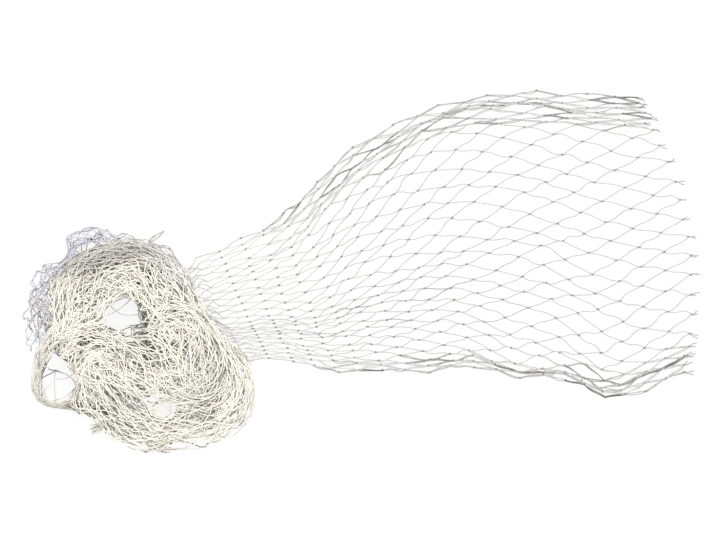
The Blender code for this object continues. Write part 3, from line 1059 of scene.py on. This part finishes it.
def lay_covers(field):
    """Every cover's netting, each laid on those before it."""
    covers = {}
    for number, (name, (meshes, slack, rows)) in enumerate(COVERS.items()):
        covers[name] = cover_netting(field, meshes, slack, rows, 100 + 10 * number)
        field.add(covers[name][0].bars.reshape(-1, 3) + 0.5 * TWINE * UP)
    return covers


# Single strands that cross the holes, and tufts that stand out of the heap
# columns: from x, y, z; to x, y, z; how far they bow aside; how many; how far their ends part; how dark their
# painted shade is
SPRIGS = (
    (-286, -112, 12, -284, -147, 3, 1.5, 1, 0, 0.1),
    (-289, -124, 8, -301, -139, 5, 1, 1, 0, 0.1),
    (-284, -121, 9, -268, -116, 12, 1.5, 1, 0, 0.1),
    (-240, -45, 24, -208, -60, 24, 6, 1, 0, 0.1),
    (-238, -60, 22, -214, -38, 22, 2, 1, 0, 0.1),
    (-203, 12, 26, -188, 27, 27, 1.2, 6, 1.8, 0.4),
    (-124, -89, 12, -105, -102, 5, 2, 12, 5, 0.3),
    (-226, -157, 12, -248, -172.5, 6, 1.2, 34, 5, 0.22),
)


def add_sprigs(strands):
    """The single strands and the tufts."""
    dice = np.random.RandomState(91)
    for row in SPRIGS:
        bend, count, spread, dark = row[6:]
        first = np.array(row[0:3]) + 0.3 * spread * dice.normal(size=(count, 3))
        second = np.array(row[3:6]) + 0.4 * spread * dice.normal(size=(count, 3))
        bow = bend * dice.normal(size=(count, 2))
        if count == 1:
            bow = np.array([[bend, 0.0]])
        paths = bars_between(first, second, bow, -0.5 * bow[:, 0], 10)
        tone = np.zeros((count, 1, 3))
        # painted shade: darker by chance strand by strand, and a little grey
        tone[:, :, 0] = dark * dice.uniform(0, 2, (count, 1))
        tone[:, :, 1] = 0.1
        strands.add(paths, 0.5 * TWINE, BAND_SIDES, tone)


# The painted shade on the heap's twine, each from 0 to 1
DEEP_SHADE = 0.5  # how dark painted shade makes the strands that lie deep in the heap
DEEP_FROM = (6, 15)  # millimetres under its top where they begin to darken, and where they are darkest
LOW_SHADE = 0.75  # how dark painted shade makes the strands that lie low in the band's own thickness
LOBE_LIGHT = 0.6  # by how much less in the loose lobes
COVER_SHADE = 0.8  # how dark painted shade makes the low strands of a cover
LOW_UNDER = (-0.3, 0.12)  # shares of the thickness where they are darkest, and where that ends
FLOOR_SHADE = 0.28  # how dark painted shade makes strands close to the floor
NEAR_FLOOR = (2, 8)  # millimetres over it where they are darkest, and where that ends
TOP_SHADE = 0.22  # how much darker painted shade makes the ridge and the corner loop
GREY_TOP = 0.25  # how grey painted shade makes the ridge
RIDGE_RUN = 150.0  # of the ridge's pass, from its start, that is so
RIDGE_LINE = (0.25, 60.0)  # the ridge's near side, seen from above: its slope, and its y at x = 0
GREY_FROM = (-30, 0)  # millimetres past that line where the grey begins, and where it is full
NECK_SHADE = (10, 70)  # millimetres from the neck where the band's painted shade begins, and where it is full
GREY_NECK = (20, 80)  # and where the fan's grey begins to fade, and where it ends
COOL_LOBES = (-250, -225)  # x where the lobes' cool painted shade begins to fade, and where it ends
COOL_SHADE_RIDGE = 0.35  # how cool the painted shade on a cover is at the right end of the ridge
COOL_RIGHT = (-205, -185)  # x where that begins, and where it is full
COOL_BACK = (-50, -20)  # and y


class Shades:
    """The painted shade on each strand of the heap: how dark, how grey and how cool."""

    def __init__(self, band, field):
        self.field = field
        self.lobes = band.stretch("lobes")
        self.corner = band.stretch("corner")
        start = band.stretch("ridge")[0]
        self.ridge = (start, start + RIDGE_RUN)

    def deep(self, points, height, low_shade):
        """Painted shade for strands deep in the heap, low in their netting and close to the floor, which see
        little light.
        """
        depth = self.field.height(points) - points[..., 2]
        shaded = DEEP_SHADE * smooth(*DEEP_FROM, depth) + low_shade * (1 - smooth(*LOW_UNDER, height))
        shaded = shaded + FLOOR_SHADE * (1 - smooth(*NEAR_FLOOR, points[..., 2]))
        return np.clip(shaded, 0, 1)

    def of_band(self, points, run, height):
        in_lobes = within(self.lobes, 20, run) * (1 - smooth(*COOL_LOBES, points[..., 0]))
        on_ridge = within(self.ridge, 30, run)
        deep = self.deep(points, height, LOW_SHADE * (1 - LOBE_LIGHT * in_lobes)) * smooth(*NECK_SHADE, run)
        # painted shade on the ridge and the corner loop
        deep = np.clip(deep + TOP_SHADE * (on_ridge + within(self.corner, 10, run)), 0, 1)
        shade_grey = GREY_TOP * on_ridge + NECK_GREY * (1 - smooth(*GREY_NECK, run))
        return np.stack([deep, shade_grey, in_lobes], axis=-1)

    def of_cover(self, slack):
        """The same for a cover that lies this loose."""
        slope, level = RIDGE_LINE

        def tone(points, run, height):
            # the ridge's top, which gets painted shade and grey
            high = (1 - slack) * smooth(*GREY_FROM, points[..., 1] - slope * points[..., 0] - level)
            deep = np.clip(self.deep(points, height, COVER_SHADE) + TOP_SHADE * high, 0, 1)
            cool_shade = COOL_SHADE_RIDGE * smooth(*COOL_RIGHT, points[..., 0]) * smooth(*COOL_BACK, points[..., 1])
            return np.stack([deep, GREY_TOP * high, slack + (1 - slack) * cool_shade], axis=-1)

        return tone


BAND_PIECES = ("net_heap_lower", "net_heap_middle", "net_heap_upper")


def make_heap(lines):
    """The heap's pieces, each with the number of half-rows in it."""
    band = Band(lines)
    even = half_rows(band)
    netting = band_netting(band, even)
    field = Field(band.top())
    covers = lay_covers(field)
    shades = Shades(band, field)
    made = []
    cuts = np.linspace(0, len(even) - 1, len(BAND_PIECES) + 1).astype(int)
    for name, low, high in zip(BAND_PIECES, cuts, cuts[1:]):
        strands = Strands()
        netting.draw(strands, low, high, shades.of_band, 71 + low)
        made.append((strands.piece(name), high - low))
    for name, own in COVER_PIECES.items():
        strands = Strands()
        rows = 0.0
        if "swirl" in own:
            add_sprigs(strands)
        for number, cover in enumerate(own):
            meshes, slack = COVERS[cover][:2]
            cover_net, count = covers[cover]
            cover_net.draw(strands, 0, count, shades.of_cover(slack), 200 + number)
            rows += count * meshes / MESHES
        made.append((strands.piece(name), rows))
    return made


# Materials


class Value:
    """A socket of a material's nodes that can be reckoned with."""

    def __init__(self, tree, socket):
        self.tree = tree
        self.socket = socket

    def math(self, operation, a, b=None):
        sockets = {0: a} if b is None else {0: a, 1: b}
        return self.tree.node("ShaderNodeMath", {"operation": operation}, sockets)

    def __add__(self, other):
        return self.math("ADD", self, other)

    __radd__ = __add__

    def __mul__(self, other):
        return self.math("MULTIPLY", self, other)

    __rmul__ = __mul__

    def __sub__(self, other):
        return self.math("SUBTRACT", self, other)

    def __rsub__(self, other):
        return self.math("SUBTRACT", other, self)

    def sine(self):
        return self.math("SINE", self)


class Nodes:
    """The nodes of one material."""

    def __init__(self, name):
        self.material = bpy.data.materials.new(name)
        self.material.use_nodes = True
        self.nodes = self.material.node_tree.nodes
        self.links = self.material.node_tree.links
        self.shader = self.nodes["Principled BSDF"]

    def node(self, kind, settings=None, sockets=None, output=0):
        """A new node: its settings first, then the values or links of its sockets."""
        node = self.nodes.new(kind)
        for name, value in (settings or {}).items():
            setattr(node, name, value)
        for name, value in (sockets or {}).items():
            self.put(node, name, value)
        return Value(self, node.outputs[output])

    def put(self, node, name, value):
        if isinstance(value, Value):
            self.links.new(value.socket, node.inputs[name])
        else:
            node.inputs[name].default_value = value

    def blend(self, share, first, second):
        """A colour between two others."""
        settings = {"data_type": "RGBA"}
        return self.node("ShaderNodeMix", settings, {0: share, 6: first, 7: second}, output=2)


# The twine's colours
CREAM = (0.9, 0.86, 0.76, 1.0)
PALE = (0.95, 0.91, 0.83, 1.0)
# the grey of painted shade, on the fan's thin strands, the ridge and the neck
SHADE_GREY = (0.28, 0.285, 0.32, 1.0)
# the cool colour of painted shade, on the loose lobes and the ridge's right end
COOL_SHADE = (0.57, 0.57, 0.67, 1.0)
PAINTED_SHADE_COLOUR = (0.05, 0.042, 0.03, 1.0)  # painted shade, in its grooves and deep in the heap
MOST_COOL_SHADE = 0.85  # the share of the cool colour of painted shade where the twine is coolest
MOST_PAINTED_SHADE = 0.9  # and of the painted shade colour where it is darkest
GROOVE_DARK = 0.12  # how dark painted shade makes the grooves between the plies
FIBRE_DARK = 0.25  # and the gaps between fibres
KNOT_DARK = 0.1  # and the knots
RELIEF = 0.00025  # metres from the grooves to the plies' tops
ROUGH = (0.5, 0.3)  # how rough the twine is, and how much its fibres add
SHEEN = 0.15
PATCHES = 38.0  # scale of the paler patches, to a metre
FIBRES = 1400.0  # and of the fibres
TWIST_PITCH = 3.2  # millimetres of twine for one turn of its plies
PLIES = 3


def twine_material():
    """Laid twine: pale plies with painted shade in their fine grooves, and painted shade, greyer, darker and
    cooler, where the tone says so.
    """
    twine = Nodes("twine")
    lay = twine.node("ShaderNodeAttribute", {"attribute_name": "lay"}, output=1)
    tone = twine.node("ShaderNodeAttribute", {"attribute_name": "tone"}, output=1)
    run = twine.node("ShaderNodeSeparateXYZ", None, {0: lay}, output=0)
    round_it = Value(twine, run.socket.node.outputs[1])
    knotted = Value(twine, run.socket.node.outputs[2])
    # the tone's painted shade: how dark, how grey and how cool
    deep = twine.node("ShaderNodeSeparateXYZ", None, {0: tone}, output=0)
    shade_grey = Value(twine, deep.socket.node.outputs[1])
    cool_shade = Value(twine, deep.socket.node.outputs[2])
    place = twine.node("ShaderNodeTexCoord", output=3)
    patches = twine.node("ShaderNodeTexNoise", None, {"Vector": place, "Scale": PATCHES, "Detail": 3.0})
    fibres = twine.node("ShaderNodeTexNoise", None, {"Vector": place, "Scale": FIBRES, "Detail": 2.0})
    ply = (round_it * (TURN * PLIES) + run * (TURN / TWIST_PITCH)).sine()

    cloth = twine.blend(patches, CREAM, PALE)
    # painted shade: greyer where the tone says so
    cloth = twine.blend(shade_grey, cloth, SHADE_GREY)
    # painted shade: cooler where the tone says so
    cloth = twine.blend(cool_shade * MOST_COOL_SHADE, cloth, COOL_SHADE)
    # painted shade in the grooves between the plies, with random fibre grain and darker knots
    groove = (1 - ply) * GROOVE_DARK + (fibres - 0.5) * FIBRE_DARK + knotted * KNOT_DARK
    cloth = twine.blend(groove, cloth, PAINTED_SHADE_COLOUR)
    # painted shade from the tone, deep in the heap
    cloth = twine.blend(deep * MOST_PAINTED_SHADE, cloth, PAINTED_SHADE_COLOUR)
    twine.put(twine.shader, "Base Color", cloth)
    twine.put(twine.shader, "Roughness", ROUGH[0] + fibres * ROUGH[1])
    raised = ply * 0.5 + fibres * 0.6
    bump = twine.node("ShaderNodeBump", None, {"Strength": 0.5, "Distance": RELIEF, "Height": raised})
    twine.put(twine.shader, "Normal", bump)
    twine.shader.inputs["Sheen Weight"].default_value = SHEEN
    twine.shader.inputs["Sheen Roughness"].default_value = 0.5
    return twine.material


FLOOR_GREY = 0.09  # so that hardly any shadow shows on it
FLOOR_GLOW = 0.87  # and its own light, which keeps it white


def floor_material():
    floor = Nodes("floor")
    floor.shader.inputs["Base Color"].default_value = (FLOOR_GREY, FLOOR_GREY, FLOOR_GREY, 1.0)
    floor.shader.inputs["Roughness"].default_value = 0.9
    floor.shader.inputs["Emission Color"].default_value = (1.0, 1.0, 1.0, 1.0)
    floor.shader.inputs["Emission Strength"].default_value = FLOOR_GLOW
    return floor.material


# The studio

FLOOR_SIZE = 6.0  # metres
FLOOR_DROP = 0.0003  # metres under the net
SKY_LIGHT = 0.88  # strength of the white light from all round
SOFTBOX_SIZE = (1.6, 1.0)  # metres
# columns: name; place; watts
SOFTBOXES = (
    ("softbox_back", (-0.5, 1.1, 1.7), 20.5),
    ("softbox_front", (0.1, -1.0, 1.9), 29.0),
)


def make_floor():
    bpy.ops.mesh.primitive_plane_add(size=FLOOR_SIZE, location=(0, 0, -FLOOR_DROP))
    floor = bpy.context.active_object
    floor.name = "floor"
    floor.data.materials.append(floor_material())


def make_light():
    world = bpy.data.worlds.new("studio")
    bpy.context.scene.world = world
    world.use_nodes = True
    background = world.node_tree.nodes["Background"]
    background.inputs["Color"].default_value = (1.0, 1.0, 1.0, 1.0)
    background.inputs["Strength"].default_value = SKY_LIGHT
    for name, place, watts in SOFTBOXES:
        lamp = bpy.data.lights.new(name, "AREA")
        lamp.shape = "RECTANGLE"
        lamp.size, lamp.size_y = SOFTBOX_SIZE
        lamp.energy = watts
        softbox = bpy.data.objects.new(name, lamp)
        softbox.location = place
        aim(softbox, (0.0, 0.0, 0.0))
        bpy.context.scene.collection.objects.link(softbox)


def aim(thing, target):
    """Turns a lamp or camera towards a point."""
    thing.rotation_euler = (Vector(target) - thing.location).to_track_quat("-Z", "Y").to_euler()


def make_camera():
    lens = bpy.data.cameras.new("camera")
    lens.lens = LENS
    lens.sensor_width = SENSOR
    lens.clip_end = 50.0
    camera = bpy.data.objects.new("camera", lens)
    distance = VIEW_WIDTH * LENS / SENSOR
    tilt = math.radians(VIEW_ELEVATION)
    camera.location = (
        VIEW_TARGET[0],
        VIEW_TARGET[1] - distance * math.cos(tilt),
        VIEW_TARGET[2] + distance * math.sin(tilt),
    )
    aim(camera, VIEW_TARGET)
    bpy.context.scene.collection.objects.link(camera)
    bpy.context.scene.camera = camera


def dress(piece, rows):
    """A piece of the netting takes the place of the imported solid."""
    piece.data.materials.append(TWINE_FINISH)
    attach(piece, "root")
    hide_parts("net")
    rows * BAR * MM


bpy.context.scene.view_settings.view_transform = "Standard"
make_camera()
make_light()
make_floor()
TWINE_FINISH = twine_material()
LINES = fan_lines()
dress(make_fan(LINES), FAN_ROWS)
for heap_piece, heap_rows in make_heap(LINES):
    dress(heap_piece, heap_rows)
